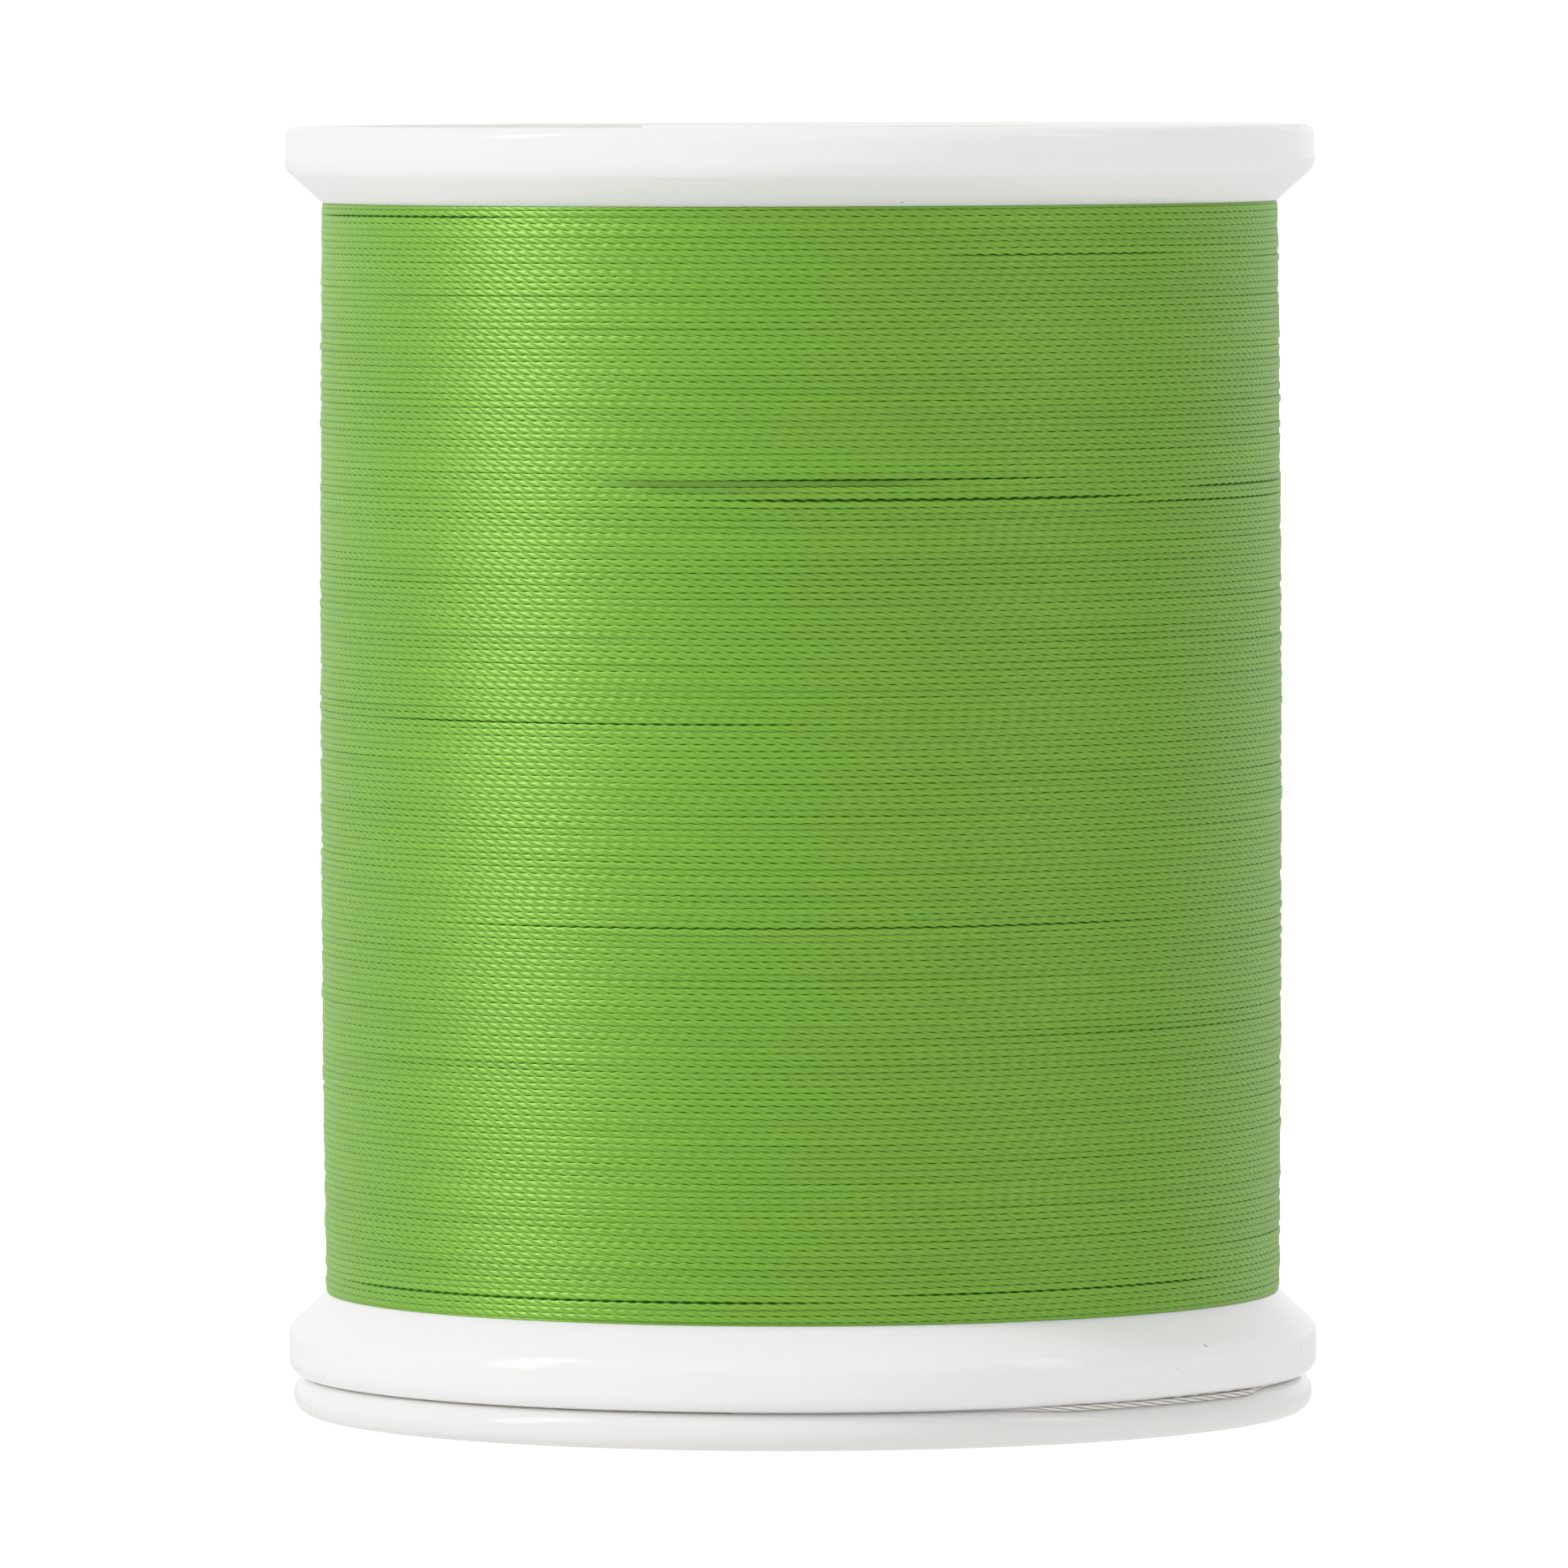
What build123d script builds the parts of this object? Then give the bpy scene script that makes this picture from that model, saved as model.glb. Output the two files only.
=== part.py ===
"""Snap spool of sewing thread: moulded spool, its snap base, wound thread with its loose end, and two paper labels.

Sizes are in millimetres. The spool's axis is Z, the base rests on z = 0, and the front faces -Y.
"""

import os
from math import cos, radians, sin

from build123d import *

# Overall
spool_height = 55.6
flange_radius = 22.25
flange_rim = 2.02  # straight part of the lower flange's edge
flange_bevel = 1.55  # height of the slope between that rim and the thread
top_rim = 1.84  # the same on the upper flange, which is a little thinner
top_bevel = 1.485
bevel_radius = 20.6  # where the slope meets the thread
lip_gap = 0.03  # between the spool's underside and its closed base

# Spool moulding
barrel_radius = 14.6
barrel_bore = 13.0
sleeve_radius = 7.7
sleeve_bore = 6.03
pin_hole = 4.75
top_plate = 1.8
label_recess = 0.3
web_count = 6
web_thickness = 0.9

# Snap base
base_radius = 22.05
base_thickness = 1.62
post_radius = 5.95
post_top = 13.0
bead_radius = 6.4
finger_slots = 2  # each slot cuts right across the post, so two make four fingers
slot_width = 1.6

# Thread
thread_diameter = 0.24
winding_end_radius = 20.66
winding_mid_radius = 20.79

# Labels
label_thickness = 0.12

body_bottom = base_thickness + lip_gap
winding_bottom = body_bottom + flange_rim + flange_bevel
winding_top = spool_height - top_rim - top_bevel
plate_bottom = spool_height - top_plate


def section(corners):
    """Half section in the XZ plane, from corners given as (radius, height, rounding)."""
    with BuildSketch(Plane.XZ) as face:
        with BuildLine():
            FilletPolyline(
                *[(radius, height) for radius, height, rounding in corners],
                radius=[rounding for radius, height, rounding in corners],
                close=True,
            )
        make_face()
    return face.sketch


def ring(inner, outer, bottom, top):
    """Half section of a plain flat ring."""
    return section([(inner, bottom, 0), (outer, bottom, 0), (outer, top, 0), (inner, top, 0)])


def around(angle, radius, height):
    """Point at an angle in degrees from the front, counted towards +X."""
    return (radius * sin(radians(angle)), -radius * cos(radians(angle)), height)


# Spool: barrel, both flanges, top plate and centre sleeve in one moulding
body_corners = [
    (barrel_bore, body_bottom, 0.3),
    (flange_radius, body_bottom, 0.7),
    (flange_radius, body_bottom + flange_rim, 0.8),
    (bevel_radius, winding_bottom, 0.15),
    (barrel_radius, winding_bottom, 0),
    (barrel_radius, winding_top, 0),
    (bevel_radius, winding_top, 0.15),
    (flange_radius, spool_height - top_rim, 0.8),
    (flange_radius, spool_height, 0.5),
    (20.3, spool_height, 0.1),
    (20.3, spool_height - label_recess, 0),
    (6.8, spool_height - label_recess, 0),
    (6.8, spool_height, 0.1),
    (pin_hole, spool_height, 0.4),
    (pin_hole, plate_bottom, 0),
    (sleeve_bore, plate_bottom, 0),
    (sleeve_bore, 12.3, 0.2),
    (sleeve_bore + 0.5, 11.9, 0.2),
    (sleeve_bore + 0.5, 8.1, 0.2),
    (sleeve_bore, 7.7, 0.2),
    (sleeve_bore, 1.95, 0.3),
    (sleeve_radius, 1.95, 0.3),
    (sleeve_radius, plate_bottom, 0.5),
    (barrel_bore, plate_bottom, 0.5),
]
with BuildPart() as spool_body:
    revolve(section(body_corners), axis=Axis.Z)
    # Hollow moulded into the underside of the lower flange, with ribs across it
    revolve(ring(15.8, 20.2, body_bottom, body_bottom + 1.6), axis=Axis.Z, mode=Mode.SUBTRACT)
    web_length = barrel_bore - sleeve_radius + 0.6
    with PolarLocations((barrel_bore + sleeve_radius) / 2, web_count):
        with Locations((0, 0, (3 + plate_bottom) / 2)):
            Box(web_length, web_thickness, plate_bottom + 0.2 - 3)
    with PolarLocations(18, 2 * web_count):
        with Locations((0, 0, body_bottom + 0.9)):
            Box(5, web_thickness, 1.6)

# Snap base: rounded disc with a hollow post whose fingers click into the sleeve
base_corners = [
    (pin_hole, 0, 0.4),
    (7.3, 0, 0.1),
    (7.3, label_recess, 0),
    (19.8, label_recess, 0),
    (19.8, 0, 0.1),
    (base_radius, 0, 0.78),
    (base_radius, base_thickness, 0.78),
    (sleeve_radius - 0.2, base_thickness, 0),
    (sleeve_radius - 0.2, 1.9, 0),
    (6.5, 1.9, 0),
    (6.5, base_thickness, 0),
    (post_radius, base_thickness, 0),
    (post_radius, 9.9, 0.1),
    (bead_radius, 10.35, 0.1),
    (bead_radius, 10.9, 0.1),
    (post_radius, 11.8, 0.1),
    (post_radius - 0.2, post_top, 0.2),
    (pin_hole, post_top, 0.2),
]
with BuildPart() as snap_base:
    revolve(section(base_corners), axis=Axis.Z)
    with PolarLocations(0, 2 * finger_slots):
        with Locations((post_radius, 0, (4 + post_top + 1) / 2)):
            Box(4, slot_width, post_top + 1 - 4, mode=Mode.SUBTRACT)

# Wound thread: a slightly barrelled mass between the flanges, its edges rounded like the turns
with BuildPart() as thread_winding:
    with BuildSketch(Plane.XZ) as winding_section:
        with BuildLine():
            Polyline(
                (winding_end_radius, winding_bottom),
                (barrel_radius, winding_bottom),
                (barrel_radius, winding_top),
                (winding_end_radius, winding_top),
            )
            ThreePointArc(
                (winding_end_radius, winding_top),
                (winding_mid_radius, (winding_bottom + winding_top) / 2),
                (winding_end_radius, winding_bottom),
            )
        make_face()
        fillet(winding_section.vertices().sort_by(Axis.X)[-2:], radius=0.12)
    revolve(axis=Axis.Z)

# Loose end: leaves the winding behind the right side, crosses the lower flange and lies in the snap groove
tail_route = [
    around(150, 20.5, winding_bottom + 0.45),
    around(147, 20.78, winding_bottom + 0.1),
    around(143.5, 21.15, winding_bottom - 0.33),
    around(140, 21.62, winding_bottom - 0.8),
    around(137.5, 22.1, winding_bottom - 1.27),
    around(136, 22.38, winding_bottom - 1.75),
    around(135, 22.42, winding_bottom - 2.4),
    around(134, 22.38, winding_bottom - 2.98),
    around(132.5, 22.17, winding_bottom - 3.42),
    around(130, 21.95, body_bottom - 0.09),
]
tail_route += [around(angle, 21.85, body_bottom - 0.0925) for angle in range(124, -10, -7)]
with BuildPart() as thread_tail:
    with BuildLine() as tail_line:
        Spline(*tail_route)
    with BuildSketch(Plane(origin=tail_line.line @ 0, z_dir=tail_line.line % 0)):
        Circle(thread_diameter / 2)
    sweep()

# Paper labels, glued into shallow recesses
with BuildPart() as top_label:
    label_floor = spool_height - label_recess
    revolve(ring(7.0, 20.1, label_floor, label_floor + label_thickness), axis=Axis.Z)

with BuildPart() as base_label:
    revolve(ring(7.5, 19.6, label_recess - label_thickness, label_recess), axis=Axis.Z)

spool_body.part.label = "spool_body"
snap_base.part.label = "snap_base"
thread_winding.part.label = "thread_winding"
thread_tail.part.label = "thread_tail"
top_label.part.label = "top_label"
base_label.part.label = "base_label"

os.makedirs("parts", exist_ok=True)
export_step(spool_body.part, "parts/spool_body.step")
export_step(snap_base.part, "parts/snap_base.step")
export_step(thread_winding.part, "parts/thread_winding.step")
export_step(thread_tail.part, "parts/thread_tail.step")
export_step(top_label.part, "parts/top_label.step")
export_step(base_label.part, "parts/base_label.step")
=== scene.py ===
import math

import bpy
import numpy as np
from mathutils import Matrix, Vector


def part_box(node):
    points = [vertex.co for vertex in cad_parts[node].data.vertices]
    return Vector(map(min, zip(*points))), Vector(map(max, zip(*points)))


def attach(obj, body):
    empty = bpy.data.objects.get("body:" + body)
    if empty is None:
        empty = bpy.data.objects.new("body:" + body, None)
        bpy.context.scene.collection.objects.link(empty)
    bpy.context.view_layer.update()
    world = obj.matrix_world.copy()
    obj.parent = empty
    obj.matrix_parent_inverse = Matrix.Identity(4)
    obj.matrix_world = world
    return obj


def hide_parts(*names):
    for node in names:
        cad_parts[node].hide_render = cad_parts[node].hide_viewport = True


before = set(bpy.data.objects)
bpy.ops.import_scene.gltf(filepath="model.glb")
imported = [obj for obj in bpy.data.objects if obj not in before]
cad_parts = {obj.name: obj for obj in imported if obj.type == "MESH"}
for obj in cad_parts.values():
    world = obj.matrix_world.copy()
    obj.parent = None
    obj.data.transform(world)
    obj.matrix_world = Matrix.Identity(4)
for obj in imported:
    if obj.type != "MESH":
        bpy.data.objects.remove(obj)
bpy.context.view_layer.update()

MM = 0.001
TAU = 2 * math.pi

# ---------------------------------------------------------------- measures taken from the CAD frame
body_low, body_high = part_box("spool_body")
wind_low, wind_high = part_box("thread_winding")
BODY_BOTTOM, TOP_Z = body_low.z, body_high.z
WIND_BOTTOM, WIND_TOP = wind_low.z, wind_high.z
WIND_MID_R = wind_high.x
WIND_SAG = 0.13 * MM  # how much narrower the barrelled winding is at its ends
BARREL_R = 14.6 * MM

# ---------------------------------------------------------------- camera
LENS = 371.7  # mm, on a 36 mm wide frame
CAMERA_DISTANCE = 0.6997
CAMERA_HEIGHT = 0.0595
PITCH_DOWN = math.radians(2.651)
YAW = math.radians(0.061)
ROLL = math.radians(-0.16)

cam_data = bpy.data.cameras.new("camera")
cam_data.sensor_width = 36
cam_data.lens = LENS
cam_data.clip_start = 0.01
cam_data.clip_end = 20
camera = bpy.data.objects.new("camera", cam_data)
bpy.context.scene.collection.objects.link(camera)
bpy.context.scene.camera = camera
aim = Matrix.Rotation(YAW, 4, "Z") @ Matrix.Rotation(math.pi / 2 - PITCH_DOWN, 4, "X")
aim = aim @ Matrix.Rotation(ROLL, 4, "Z")
camera.matrix_world = Matrix.Translation((0, -CAMERA_DISTANCE, CAMERA_HEIGHT)) @ aim

# ---------------------------------------------------------------- helpers
def new_material(name):
    material = bpy.data.materials.new(name)
    material.use_nodes = True
    return material, material.node_tree.nodes, material.node_tree.links


def add_node(nodes, kind, **inputs):
    node = nodes.new(kind)
    for key, value in inputs.items():
        node.inputs[key.replace("_", " ")].default_value = value
    return node


def grid_faces(rows, cols, start=0):
    """Vertex numbers of the quads of a rows x cols grid stored row by row."""
    j, i = np.meshgrid(np.arange(rows - 1), np.arange(cols - 1), indexing="ij")
    a = start + j * cols + i
    return np.stack([a, a + 1, a + cols + 1, a + cols], -1).reshape(-1, 4)


def mesh_object(name, points, quads, material, polygons=()):
    """Mesh of quads, then any further polygons given as lists of vertex numbers."""
    corners = np.concatenate([quads.ravel()] + [np.array(p) for p in polygons]).astype(np.int32)
    sizes = np.array([4] * len(quads) + [len(p) for p in polygons])
    starts = np.concatenate([[0], np.cumsum(sizes)[:-1]]).astype(np.int32)
    mesh = bpy.data.meshes.new(name)
    mesh.vertices.add(len(points))
    mesh.vertices.foreach_set("co", points.astype(np.float32).ravel())
    mesh.loops.add(len(corners))
    mesh.loops.foreach_set("vertex_index", corners)
    mesh.polygons.add(len(sizes))
    mesh.polygons.foreach_set("loop_start", starts)
    mesh.update(calc_edges=True)
    mesh.materials.append(material)
    obj = bpy.data.objects.new(name, mesh)
    bpy.context.scene.collection.objects.link(obj)
    return obj


# ---------------------------------------------------------------- materials
def tint(color, factor):
    return tuple(c * factor for c in color) + (1,)


def noise_ramp(nodes, links, vector, scale, detail, low, high, spread=0.2):
    """Noise that varies between two colours."""
    noise = add_node(nodes, "ShaderNodeTexNoise", Scale=scale, Detail=detail)
    ramp = add_node(nodes, "ShaderNodeValToRGB")
    links.new(vector, noise.inputs["Vector"])
    links.new(noise.outputs["Fac"], ramp.inputs["Fac"])
    ramp.color_ramp.elements[0].position = 0.5 - spread
    ramp.color_ramp.elements[0].color = low
    ramp.color_ramp.elements[1].position = 0.5 + spread
    ramp.color_ramp.elements[1].color = high
    return ramp.outputs["Color"]


def multiply(nodes, links, a, b):
    mix = nodes.new("ShaderNodeMix")
    mix.data_type = "RGBA"
    mix.blend_type = "MULTIPLY"
    mix.inputs[0].default_value = 1
    links.new(a, mix.inputs[6])
    links.new(b, mix.inputs[7])
    return mix.outputs[2]


def plastic(name, color):
    """Polished white moulding: faint cloudiness, rare grey specks, and a skin that is not quite flat."""
    material, nodes, links = new_material(name)
    shader = nodes["Principled BSDF"]
    shader.inputs["Subsurface Weight"].default_value = 0.6
    shader.inputs["Subsurface Radius"].default_value = (0.0014, 0.0013, 0.0012)
    shader.inputs["Subsurface Scale"].default_value = 1.0
    shader.inputs["Specular IOR Level"].default_value = 0.45
    coords = add_node(nodes, "ShaderNodeTexCoord").outputs["Object"]
    cloud = noise_ramp(nodes, links, coords, 140, 3, tint(color, 0.985), tint(color, 1.0))
    speck = noise_ramp(nodes, links, coords, 1900, 1, (0.66, 0.65, 0.64, 1), tint((1, 1, 1), 1))
    speck.node.color_ramp.elements[0].position = 0.17
    speck.node.color_ramp.elements[1].position = 0.2
    links.new(multiply(nodes, links, cloud, speck), shader.inputs["Base Color"])
    gloss = add_node(nodes, "ShaderNodeMapRange", From_Min=0.3, From_Max=0.7, To_Min=0.09, To_Max=0.15)
    wear = add_node(nodes, "ShaderNodeTexNoise", Scale=260.0, Detail=4.0)
    links.new(coords, wear.inputs["Vector"])
    links.new(wear.outputs["Fac"], gloss.inputs["Value"])
    links.new(gloss.outputs["Result"], shader.inputs["Roughness"])
    bump = add_node(nodes, "ShaderNodeBump", Strength=0.03, Distance=0.0001)
    ripple = add_node(nodes, "ShaderNodeTexNoise", Scale=380.0, Detail=2.0)
    links.new(coords, ripple.inputs["Vector"])
    links.new(ripple.outputs["Fac"], bump.inputs["Height"])
    links.new(bump.outputs["Normal"], shader.inputs["Normal"])
    return material


def thread(name, color, groove_shade_color, glint, filaments):
    """Twisted glossy thread: painted shade between its plies, uneven in tone, with fine filaments along each
    ply.
    """
    material, nodes, links = new_material(name)
    shader = nodes["Principled BSDF"]
    shader.inputs["Roughness"].default_value = 0.41
    shader.inputs["IOR"].default_value = 1.9
    shader.inputs["Coat Weight"].default_value = 0.1
    shader.inputs["Coat Roughness"].default_value = 0.4
    shader.inputs["Specular IOR Level"].default_value = 1.0
    shader.inputs["Subsurface Weight"].default_value = 0.6
    shader.inputs["Subsurface Radius"].default_value = (0.0002, 0.0003, 0.0001)
    shader.inputs["Subsurface Scale"].default_value = 1.0
    shader.inputs["Specular Tint"].default_value = glint + (1,)
    coords = add_node(nodes, "ShaderNodeTexCoord").outputs["Object"]
    tone = noise_ramp(nodes, links, coords, 1500, 2, tint((1, 1, 1), 0.9), tint((1, 1, 1), 1.0), 0.25)
    cloud = noise_ramp(nodes, links, coords, 70, 2, tint((1, 1, 1), 0.95), tint((1, 1, 1), 1.0), 0.2)
    # the groove attribute mixes the base towards the second, darker colour: painted shade in ply grooves,
    # joints between turns, partings and sunk turns
    groove = nodes.new("ShaderNodeAttribute")
    groove.attribute_name = "groove"
    ramp = add_node(nodes, "ShaderNodeValToRGB")
    ramp.color_ramp.elements[0].color = color + (1,)
    ramp.color_ramp.elements[1].color = groove_shade_color + (1,)
    links.new(groove.outputs["Fac"], ramp.inputs["Fac"])
    base = multiply(nodes, links, multiply(nodes, links, ramp.outputs["Color"], tone), cloud)
    links.new(base, shader.inputs["Base Color"])
    uv = nodes.new("ShaderNodeUVMap")
    uv.uv_map = "ply"
    stretch = nodes.new("ShaderNodeMapping")
    stretch.inputs["Scale"].default_value = (filaments[0], filaments[1], 1)
    links.new(uv.outputs["UV"], stretch.inputs["Vector"])
    streak = add_node(nodes, "ShaderNodeTexNoise", Scale=1.0, Detail=2.0)
    links.new(stretch.outputs["Vector"], streak.inputs["Vector"])
    bump = add_node(nodes, "ShaderNodeBump", Strength=0.2, Distance=0.00002)
    links.new(streak.outputs["Fac"], bump.inputs["Height"])
    links.new(bump.outputs["Normal"], shader.inputs["Normal"])
    return material


def paper(name, print_color):
    """Coated paper with a plain printed ring near its outer edge."""
    material, nodes, links = new_material(name)
    shader = nodes["Principled BSDF"]
    shader.inputs["Roughness"].default_value = 0.5
    coords = add_node(nodes, "ShaderNodeTexCoord").outputs["Object"]
    flat = nodes.new("ShaderNodeVectorMath")
    flat.operation = "MULTIPLY"
    flat.inputs[1].default_value = (1000, 1000, 0)
    links.new(coords, flat.inputs[0])
    radius = nodes.new("ShaderNodeVectorMath")
    radius.operation = "LENGTH"
    links.new(flat.outputs["Vector"], radius.inputs[0])
    scaled = add_node(nodes, "ShaderNodeMapRange", From_Min=0.0, From_Max=22.0)
    links.new(radius.outputs["Value"], scaled.inputs["Value"])
    ramp = add_node(nodes, "ShaderNodeValToRGB")
    ramp.color_ramp.interpolation = "CONSTANT"
    blank = (0.84, 0.84, 0.8, 1)
    ramp.color_ramp.elements[0].color = blank
    ramp.color_ramp.elements[1].position = 16.6 / 22
    ramp.color_ramp.elements[1].color = print_color + (1,)
    for position, ring_color in ((17.0, blank), (17.6, print_color + (1,)), (19.3, blank)):
        ring = ramp.color_ramp.elements.new(position / 22)
        ring.color = ring_color
    links.new(scaled.outputs["Result"], ramp.inputs["Fac"])
    fibre = noise_ramp(nodes, links, coords, 1800, 4, tint((1, 1, 1), 0.95), tint((1, 1, 1), 1.0))
    links.new(multiply(nodes, links, ramp.outputs["Color"], fibre), shader.inputs["Base Color"])
    return material


WHITE = (0.88, 0.874, 0.848)
white = plastic("white_plastic", WHITE)
# the snap base is the same white plastic painted 14 % darker: painted shade for the weaker light that reaches
# it from below
base_white_shaded = plastic("base_plastic", tuple(0.86 * c for c in WHITE))
green = thread("green_thread", (0.135, 0.325, 0.009), (0.03, 0.1, 0.001), (0.55, 1.0, 0.24), (40, 9))
pale = thread("pale_thread", (0.74, 0.72, 0.64), (0.3, 0.29, 0.26), (1.0, 1.0, 1.0), (40, 9))
label = paper("label_paper", (0.1, 0.33, 0.04))
for node, material in (
    ("spool_body", white),
    ("snap_base", base_white_shaded),
    ("top_label", label),
    ("base_label", label),
):
    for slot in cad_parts[node].material_slots:
        slot.material = material

# ---------------------------------------------------------------- wound thread
TURNS = 170
PLY_TURN = 1.83 * MM  # length in which the three plies go once round
ROWS = 8  # mesh rows across one turn of thread
COLUMNS = 1278  # mesh columns round the spool, six to each ply seen
BANDS = 20
PITCH = (WIND_TOP - WIND_BOTTOM) / TURNS
STRAND = PITCH / 2
LENGTH = TAU * (WIND_MID_R - STRAND)  # of one turn
PLY_DEPTH = 0.4  # grooves between plies beside a joint, of the thread's radius
CROWN_DEPTH = 0.2  # the same grooves on the crown, pressed flatter
CREVICE = 0.92  # height of the joint between turns, of the thread's radius
WEAVE = 0.06  # how far a ply bulges over the joint into its neighbour's groove, of the pitch
JOINT_DEPTH = 0.6  # how much deeper it is where the neighbours' ply grooves meet
SUNK_SMOOTH = 0.05 * MM  # a turn sunk this deep shows almost no plies
SUNK_DARK = 0.09 * MM  # and one sunk this deep lies fully in shade
GAP_DARK = 0.05 * MM  # half opening of a parting that lies fully in shade
SEAM = math.pi  # the mesh seam is at the back
FOLDS = 6  # the unwrapped band is cut into this many lengths, to fill a square map
rng = np.random.default_rng(4)


def wander(knots_per_turn, size):
    """Smooth random offset along the thread, read at a position counted in turns."""
    knots = rng.normal(0, size, int((TURNS + 4) * knots_per_turn) + 4)

    def read(u):
        x = np.clip((u + 1.5) * knots_per_turn, 1, len(knots) - 3.001)
        n = np.floor(x).astype(int)
        f = x - n
        a, b, c, d = knots[n - 1], knots[n], knots[n + 1], knots[n + 2]
        return b + 0.5 * f * (c - a + f * (2 * a - 5 * b + 4 * c - d + f * (3 * (b - c) + d - a)))

    return read


drift_z = wander(11, 0.03 * PITCH)  # up and down
drift_r = wander(9, 0.022 * MM)  # in and out
drift_twist = wander(2.5, 1.6)  # of the plies, in radians
drift_tone = wander(3, 0.05)  # shade


# Where two turns part, or one sinks between its neighbours: turn counted from the bottom, angles in degrees
# from the front where it starts and ends, opening in mm (partings only), depth in mm
PARTINGS = [
    (168, -86, -32, 0.07, 0.065),
    (162, 14, 54, 0.05, 0.05),
    (128, -12, 36, 0.05, 0.07),
    (125, -16, 50, 0.1, 0.08),
    (126, 48, 94, 0.07, 0.065),
    (124, 36, 96, 0.05, 0.06),
    (91, -64, 8, 0.05, 0.055),
    (60, -52, 58, 0.05, 0.055),
    (3, -78, 10, 0.09, 0.08),
    (4, 4, 64, 0.06, 0.065),
    (106, 112, 170, 0.07, 0.075),
    (142, -164, -112, 0.08, 0.08),
    (35, 120, 172, 0.05, 0.06),
    (72, -140, -96, 0.05, 0.055),
]
SUNK = [(127, -28, 20, 0.08), (126, -20, 2, 0.05), (107, 118, 160, 0.07), (143, -150, -118, 0.08)]


def smooth(t):
    t = np.clip(t, 0, 1)
    return t * t * (3 - 2 * t)


def stretch(degrees, start, end):
    """1 between two angles, fading to 0 at both."""
    t = (degrees - start) / (end - start)
    return smooth(4 * t) * smooth(4 * (1 - t))


def parting(turn, degrees):
    """For the joint below a turn: how far it has moved up, half its opening, and its extra depth."""
    move, gap, depth = 0, 0, 0
    for place, start, end, opening, deep in PARTINGS:
        here = stretch(degrees, start, end) * MM
        away = turn - place
        # the turns on both sides are pushed away, less and less with distance
        move = move + 0.5 * opening * here * np.sign(away) * 0.75 ** np.abs(away)
        gap = gap + 0.5 * opening * here * (away == 0)
        depth = depth + deep * here * (away == 0)
    return move, gap, depth


def sinking(turn, degrees):
    """How deep a turn has sunk between its neighbours."""
    depth = 0
    for place, start, end, deep in SUNK:
        depth = depth + deep * MM * stretch(degrees, start, end) * (turn == place)
    return depth


def winding_radius(z):
    """Outer radius of the winding at height z: slightly barrelled."""
    mid = (WIND_TOP + WIND_BOTTOM) / 2
    half = (WIND_TOP - WIND_BOTTOM) / 2
    return WIND_MID_R - WIND_SAG * ((z - mid) / half) ** 2


def lobes(angle):
    """0 on the crown of a ply, 1 in the groove between two plies."""
    return ((1 - np.cos(3 * angle)) / 2) ** 1.4


def phase(v):
    """Angle the plies have twisted through, at a position counted in turns."""
    return TAU * v * LENGTH / PLY_TURN + drift_twist(v)


def joint_height(turn, around):
    """Height of the joint below a turn, kept between the flanges."""
    u = turn + around
    inside = np.clip(u, 0.004 * (u + 1), TURNS - 0.004 * (TURNS + 1 - u))
    edge = smooth(u / 2) * smooth((TURNS - u) / 2)
    move, gap, depth = parting(turn, 360 * around - 180)
    bulge = WEAVE * PITCH * (lobes(phase(u)) - lobes(np.pi + phase(u - 1)))
    drift = (drift_z(u) + drift_z(u - 1)) / 2
    return WIND_BOTTOM + PITCH * inside + edge * (drift + move + bulge), gap, depth


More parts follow.
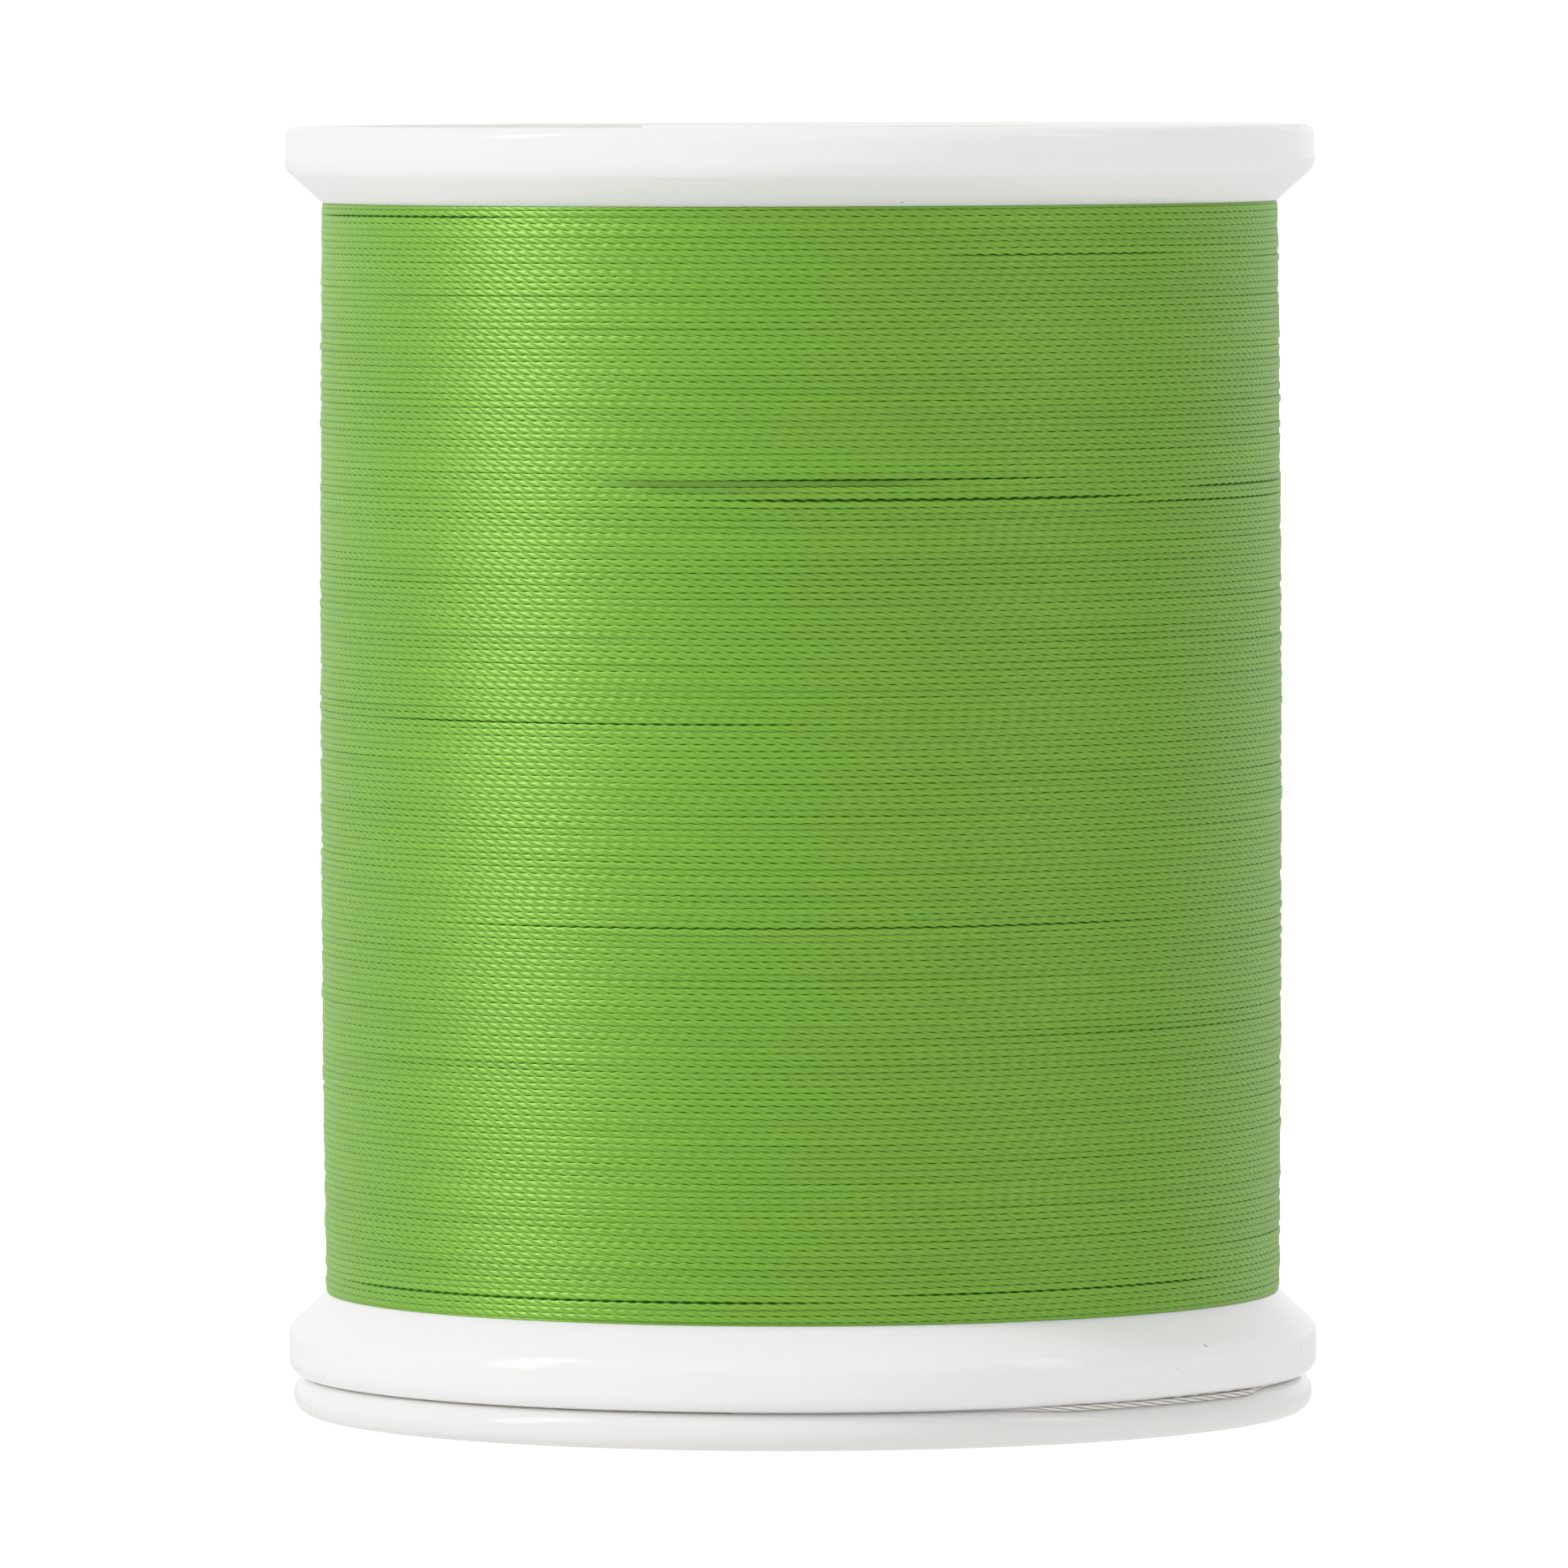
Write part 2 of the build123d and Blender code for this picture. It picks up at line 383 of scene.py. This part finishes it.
def band_surface(first, last):
    """Outer surface from turn `first` to turn `last`: points, painted groove shade, and thread coordinates.
    """
    row = np.arange(first * ROWS, last * ROWS + 1)[:, None]
    part = row % ROWS
    turn = row // ROWS - 1
    around = np.arange(COLUMNS + 1)[None, :] / COLUMNS
    u = turn + around
    p = np.pi * part / ROWS
    angle = SEAM + TAU * around

    low, low_gap, low_depth = joint_height(turn, around)
    high, high_gap, _ = joint_height(turn + 1, around)
    full = np.sqrt(np.clip((high - low) / PITCH, 0, 1))
    sink = sinking(turn, 360 * around - 180)
    ply = lobes(p + phase(u)) * (1 - np.clip(sink / SUNK_SMOOTH, 0, 0.9))
    belly = CREVICE + (1 - CREVICE) * np.sin(p)
    depth = PLY_DEPTH - (PLY_DEPTH - CROWN_DEPTH) * np.sin(p)
    rise = STRAND * (belly - depth * ply) * full + drift_r(u) - sink
    middle = (low + low_gap + high - high_gap) / 2
    half = (high - high_gap - low - low_gap) / 2
    z = middle - half * np.cos(p)

    def meeting(v):
        """1 where the ply grooves on both sides of the joint below v meet, 0 where two plies touch."""
        return np.clip(0.95 * lobes(phase(v)) + 0.25 * lobes(np.pi + phase(v - 1)) - 0.05, 0, 1)

    joint = meeting(u)
    bottom = np.minimum(drift_r(u) - sink, drift_r(u - 1) - sinking(turn - 1, 360 * around - 180))
    rise_joint = STRAND * (CREVICE - 0.02 - JOINT_DEPTH * joint) * full + bottom - low_depth
    at_joint = part == 0
    rise = np.where(at_joint, rise_joint, rise)
    z = np.where(at_joint, low, z)
    beside = np.clip(np.minimum(part, ROWS - part) / 2, 0, 1)
    near_gap = np.where(part < ROWS / 2, low_gap, high_gap) / GAP_DARK * (1 - beside)
    from_below = np.clip(1.15 - 0.4 * part, 0, 1) * joint
    from_above = np.clip(1.15 - 0.4 * (ROWS - part), 0, 1) * meeting(u + 1)
    spread = from_below + from_above
    # painted shade: darker in the ply grooves, in the dashes where grooves meet at a joint and the rows
    # beside them, in partings and in sunk turns
    shade = np.where(at_joint, joint, np.maximum(spread, ply * (1 - 0.5 * np.sin(p))))
    shade = np.clip(shade + near_gap + sink / SUNK_DARK + drift_tone(u), 0, 1)
    r = winding_radius(z) - STRAND + rise
    points = np.stack([r * np.sin(angle), -r * np.cos(angle), z], -1)
    along = (u * LENGTH / PLY_TURN, (p + phase(u)) / TAU)
    return points, shade, along


def inset(x):
    """Keeps a small margin at both ends of the bake map."""
    return 0.01 + 0.98 * x


def winding_band(index, first, last):
    """One band of turns, closed into a ring with the barrel's radius inside."""
    points, shade, along = band_surface(first, last)
    rows, cols, _ = points.shape
    outer = rows * cols
    inner = points[[0, -1]].copy()
    inner[..., :2] *= BARREL_R / np.hypot(inner[..., 0], inner[..., 1])[..., None]
    quads = grid_faces(rows, cols)
    i = np.arange(cols - 1)
    bottom, top = outer + i, outer + cols + i
    last_row = (rows - 1) * cols + i
    caps = np.concatenate([
        np.stack([bottom, bottom + 1, i + 1, i], -1),
        np.stack([last_row, last_row + 1, top + 1, top], -1),
        np.stack([top, top + 1, bottom + 1, bottom], -1),
    ])
    all_quads = np.concatenate([quads, caps])
    column = np.arange(rows) * cols
    ends = [
        list(column[::-1]) + [outer, outer + cols],
        list(column + cols - 1) + [outer + 2 * cols - 1, outer + cols - 1],
    ]
    name = f"thread_winding_{index:02d}"
    all_points = np.concatenate([points.reshape(-1, 3), inner.reshape(-1, 3)])
    obj = mesh_object(name, all_points, all_quads, green, ends)
    mesh = obj.data
    flags = np.zeros(len(mesh.polygons), bool)
    flags[: len(quads)] = True
    mesh.polygons.foreach_set("use_smooth", flags)

    # the painted shade goes to the thread material through this attribute
    groove = mesh.attributes.new("groove", "FLOAT", "POINT")
    values = np.ones(len(mesh.vertices), np.float32)
    values[:outer] = shade.ravel()
    groove.data.foreach_set("value", values)

    # bake map: the band folded into lengths, with its hidden faces in the last one
    across = np.tile(np.arange(cols - 1), rows - 1)
    up = np.repeat(np.arange(rows - 1), cols - 1)
    size = (cols - 1) // FOLDS
    fold = across // size
    corner_x = np.array([0, 1, 1, 0])
    corner_y = np.array([0, 0, 1, 1])
    lane = FOLDS + 1
    bake_x = ((across - fold * size)[:, None] + corner_x) / size
    bake_y = (fold[:, None] + 0.02 + 0.96 * (up[:, None] + corner_y) / (rows - 1)) / lane
    cap_x = np.tile(i, 3)[:, None] + corner_x
    cap_y = FOLDS + 0.05 + 0.2 * np.repeat(np.arange(3), cols - 1)[:, None] + 0.18 * corner_y
    end_x = np.concatenate([np.linspace(0, 1, rows), [1, 0]])
    end_y = np.concatenate([np.full(rows, 0.7), [0.8, 0.8]])
    bake = np.concatenate([
        np.stack([inset(bake_x), bake_y], -1).reshape(-1, 2),
        np.stack([inset(cap_x / (cols - 1)), cap_y / lane], -1).reshape(-1, 2),
        np.stack([inset(end_x), (FOLDS + end_y) / lane], -1),
        np.stack([inset(end_x), (FOLDS + end_y + 0.12) / lane], -1),
    ])
    mesh.uv_layers.new(name="OFBake").data.foreach_set("uv", bake.astype(np.float32).ravel())
    ply = np.stack([np.broadcast_to(along[0], (rows, cols)), along[1]], -1).reshape(-1, 2)
    ply = np.concatenate([ply, np.zeros((2 * cols, 2))])
    loops = np.zeros(len(mesh.loops), np.int32)
    mesh.loops.foreach_get("vertex_index", loops)
    mesh.uv_layers.new(name="ply").data.foreach_set("uv", ply[loops].astype(np.float32).ravel())
    edges = np.zeros(len(mesh.edges) * 2, np.int32)
    mesh.edges.foreach_get("vertices", edges)
    edges = edges.reshape(-1, 2)
    edge_row = edges // cols
    sharp = (edge_row[:, 0] == edge_row[:, 1]) & (edge_row[:, 0] % ROWS == 0) & (edges[:, 1] < outer)
    mesh.attributes.new("sharp_edge", "BOOLEAN", "EDGE").data.foreach_set("value", sharp)
    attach(obj, "spool")
    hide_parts("thread_winding")


marks = np.round(np.linspace(0, TURNS + 2, BANDS + 1)).astype(int)
for index in range(BANDS):
    winding_band(index + 1, marks[index], marks[index + 1])

# ---------------------------------------------------------------- loose end in the snap groove
TAIL_R = 0.12 * MM
TAIL_TWIST = 2.85 * MM  # its plies have untwisted a little


LIP = BODY_BOTTOM / MM  # underside of the spool's lower flange, mm
EDGE = WIND_BOTTOM / MM  # lower edge of the winding, mm


def front_point(angle, radius, height):
    """Point at an angle in degrees from the front, with radius and height in mm."""
    a = math.radians(angle)
    return (radius * math.sin(a) * MM, -radius * math.cos(a) * MM, height * MM)


tail_route = [
    front_point(150, 20.5, EDGE + 0.45),
    front_point(147, 20.78, EDGE + 0.1),
    front_point(143.5, 21.15, EDGE - 0.33),
    front_point(140, 21.62, EDGE - 0.8),
    front_point(137.5, 22.1, EDGE - 1.27),
    front_point(136, 22.38, EDGE - 1.75),
    front_point(135, 22.42, EDGE - 2.4),
    front_point(134, 22.38, EDGE - 2.98),
    front_point(132.5, 22.17, EDGE - 3.42),
    front_point(130, 21.95, LIP - 0.09),
]


def standing_out(degrees):
    """1 where the loose end stands out of the groove, 0 where it is pinched flat under the lip."""
    return smooth((degrees - 20) / 12) * (1 - smooth((degrees - 60) / 7) * (1 - smooth((degrees - 92) / 12)))


for degrees in range(124, -10, -4):
    out = float(standing_out(degrees))
    tail_route.append(front_point(degrees, 21.5 + 0.35 * out, LIP - 0.025 - 0.055 * out))


def curve_points(route, step):
    """Evenly spaced points on a smooth line through the route."""
    knots = np.array(route)
    knots = np.concatenate([[2 * knots[0] - knots[1]], knots, [2 * knots[-1] - knots[-2]]])
    fine = []
    for n in range(1, len(knots) - 2):
        a, b, c, d = knots[n - 1 : n + 3]
        f = np.linspace(0, 1, 60, endpoint=False)[:, None]
        fine.append(b + 0.5 * f * (c - a + f * (2 * a - 5 * b + 4 * c - d + f * (3 * (b - c) + d - a))))
    fine = np.concatenate(fine + [knots[-2:-1]])
    run = np.concatenate([[0], np.cumsum(np.linalg.norm(np.diff(fine, axis=0), axis=1))])
    at = np.arange(0, run[-1], step)
    return np.stack([np.interp(at, run, fine[:, k]) for k in range(3)], -1), at


def twisted_strand(name, route, full_radius, twist, material, sides=10, step=0.06 * MM):
    """Three plies twisted round a route, as closed tubes in one mesh, thinner where the lip pinches them,
    with painted shade between the plies.
    """
    line, at = curve_points(route, step)
    front = np.degrees(np.arctan2(line[:, 0], -line[:, 1]))
    radius = (full_radius * (0.3 + 0.7 * standing_out(front)))[:, None]
    tangent = np.gradient(line, axis=0)
    tangent /= np.linalg.norm(tangent, axis=1)[:, None]
    out = line * (1, 1, 0)
    out /= np.linalg.norm(out, axis=1)[:, None]
    side = np.cross(tangent, out)
    side /= np.linalg.norm(side, axis=1)[:, None]
    up = np.cross(side, tangent)
    ply_r = radius[:, None] * 0.49
    offset = 0.51 * radius
    points, quads, shade, ends = [], [], [], []
    count = len(line)
    for ply in range(3):
        a = -TAU * at / twist + TAU * ply / 3
        centre = line + offset * (np.cos(a)[:, None] * side + np.sin(a)[:, None] * up)
        b = TAU * np.arange(sides) / sides
        ring = np.cos(b)[None, :, None] * side[:, None] + np.sin(b)[None, :, None] * up[:, None]
        start = len(points) * count * sides
        tube = centre[:, None] + ply_r * ring
        points.append(tube.reshape(-1, 3))
        # painted shade on the side of each ply that faces the other plies
        facing = np.cos(b[None, :] - a[:, None])
        shade.append(smooth(0.55 - 0.75 * facing).ravel())
        j, i = np.meshgrid(np.arange(count - 1), np.arange(sides), indexing="ij")
        v = start + j * sides
        after = v + (i + 1) % sides
        quads.append(np.stack([v + i, after, after + sides, v + sides + i], -1).reshape(-1, 4))
        ends.append([start + k for k in range(sides)][::-1])
        ends.append([start + (count - 1) * sides + k for k in range(sides)])
    obj = mesh_object(name, np.concatenate(points), np.concatenate(quads), material, ends)
    mesh = obj.data
    mesh.polygons.foreach_set("use_smooth", np.ones(len(mesh.polygons), bool))
    groove = mesh.attributes.new("groove", "FLOAT", "POINT")
    groove.data.foreach_set("value", np.concatenate(shade).astype(np.float32))
    ply_uv = np.stack(np.meshgrid(at / twist, np.arange(sides) / sides, indexing="ij"), -1).reshape(-1, 2)
    ply_uv = np.tile(ply_uv, (3, 1))
    loops = np.zeros(len(mesh.loops), np.int32)
    mesh.loops.foreach_get("vertex_index", loops)
    mesh.uv_layers.new(name="ply").data.foreach_set("uv", ply_uv[loops].astype(np.float32).ravel())
    return obj


tail = twisted_strand("thread_tail_plies", tail_route, TAIL_R, TAIL_TWIST, pale)
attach(tail, "spool")
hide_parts("thread_tail")

# ---------------------------------------------------------------- light and floor
def sky(left, right, front, back, up):
    """White studio all round, with its own brightness in each direction, blended smoothly between them."""
    world = bpy.data.worlds.new("studio")
    world.use_nodes = True
    bpy.context.scene.world = world
    nodes, links = world.node_tree.nodes, world.node_tree.links
    parts = nodes.new("ShaderNodeSeparateXYZ")
    links.new(nodes.new("ShaderNodeTexCoord").outputs["Generated"], parts.inputs[0])
    total = None
    for axis, low, high in (("X", left, right), ("Y", front, back), ("Z", 0, up)):
        side = add_node(nodes, "ShaderNodeMapRange", From_Min=-0.001, From_Max=0.001, To_Min=low, To_Max=high)
        square = nodes.new("ShaderNodeMath")
        square.operation = "MULTIPLY"
        term = nodes.new("ShaderNodeMath")
        term.operation = "MULTIPLY_ADD"
        term.inputs[2].default_value = 0
        links.new(parts.outputs[axis], side.inputs["Value"])
        links.new(parts.outputs[axis], square.inputs[0])
        links.new(parts.outputs[axis], square.inputs[1])
        links.new(square.outputs[0], term.inputs[0])
        links.new(side.outputs["Result"], term.inputs[1])
        if total:
            links.new(total, term.inputs[2])
        total = term.outputs[0]
    links.new(total, nodes["Background"].inputs["Strength"])
    nodes["Background"].inputs["Color"].default_value = (1, 1, 1, 1)


sky(0.74, 0.6, 0.98, 1.4, 0.55)


def area_light(name, azimuth, elevation, distance, width, height, power):
    """Soft light at an azimuth from the front towards +X, aimed at the middle of the spool."""
    data = bpy.data.lights.new(name, "AREA")
    data.shape = "RECTANGLE"
    data.size = width
    data.size_y = height
    data.energy = power
    light = bpy.data.objects.new(name, data)
    bpy.context.scene.collection.objects.link(light)
    a, e = math.radians(azimuth), math.radians(elevation)
    target = Vector((0, 0, TOP_Z / 2))
    way = Vector((math.sin(a) * math.cos(e), -math.cos(a) * math.cos(e), math.sin(e)))
    light.location = target + distance * way
    light.rotation_euler = way.to_track_quat("Z", "Y").to_euler()


area_light("key", -70, 30, 0.9, 0.18, 0.62, 5.3)
area_light("fill", 66, 30, 0.9, 0.2, 0.5, 0.6)
area_light("key_strip", -46, 36, 0.9, 0.78, 0.03, 0.9)
area_light("fill_strip", 60, 36, 0.9, 0.23, 0.03, 0.12)


def glowing(name, strength, points, faces):
    """A plain white glowing surface round the object, which is not part of it."""
    material, nodes, links = new_material(name)
    nodes.remove(nodes["Principled BSDF"])
    glow = add_node(nodes, "ShaderNodeEmission", Strength=strength)
    links.new(glow.outputs["Emission"], nodes["Material Output"].inputs["Surface"])
    mesh = bpy.data.meshes.new(name)
    mesh.from_pydata(points, [], faces)
    mesh.materials.append(material)
    obj = bpy.data.objects.new(name, mesh)
    bpy.context.scene.collection.objects.link(obj)
    return obj


ROOM = 4.0
FLOOR = -2.2 * MM  # just under the snap base when it is pulled down
corners = [(-ROOM, -ROOM), (ROOM, -ROOM), (ROOM, ROOM), (-ROOM, ROOM)]
room_points = [(x, y, FLOOR) for x, y in corners] + [(x, y, ROOM) for x, y in corners]
walls = [(i, (i + 1) % 4, (i + 1) % 4 + 4, i + 4) for i in range(4)]
lit_floor = glowing("floor_light", 0.93, room_points[:4], [(0, 1, 2, 3)])
lit_floor.visible_camera = False
seen_room = glowing("floor_and_walls", 3.0, room_points, [(0, 1, 2, 3), (4, 5, 6, 7)] + walls)
seen_room.visible_diffuse = False
seen_room.visible_glossy = False
seen_room.visible_transmission = False
seen_room.visible_shadow = False
seen_room.visible_volume_scatter = False

# ---------------------------------------------------------------- tone: highlights roll off to white
view = bpy.context.scene.view_settings
view.view_transform = "Standard"
view.use_curve_mapping = True
tone = view.curve_mapping
tone.white_level = (2, 2, 2)
shoulder = tone.curves[3]
shoulder.points[1].location = (1, 1)
SHOULDER = ((0.25, 0.5), (0.35, 0.68), (0.425, 0.785), (0.5, 0.855), (0.625, 0.92), (0.8, 0.97))
for light_in, light_out in SHOULDER:
    shoulder.points.new(light_in, light_out)
tone.update()
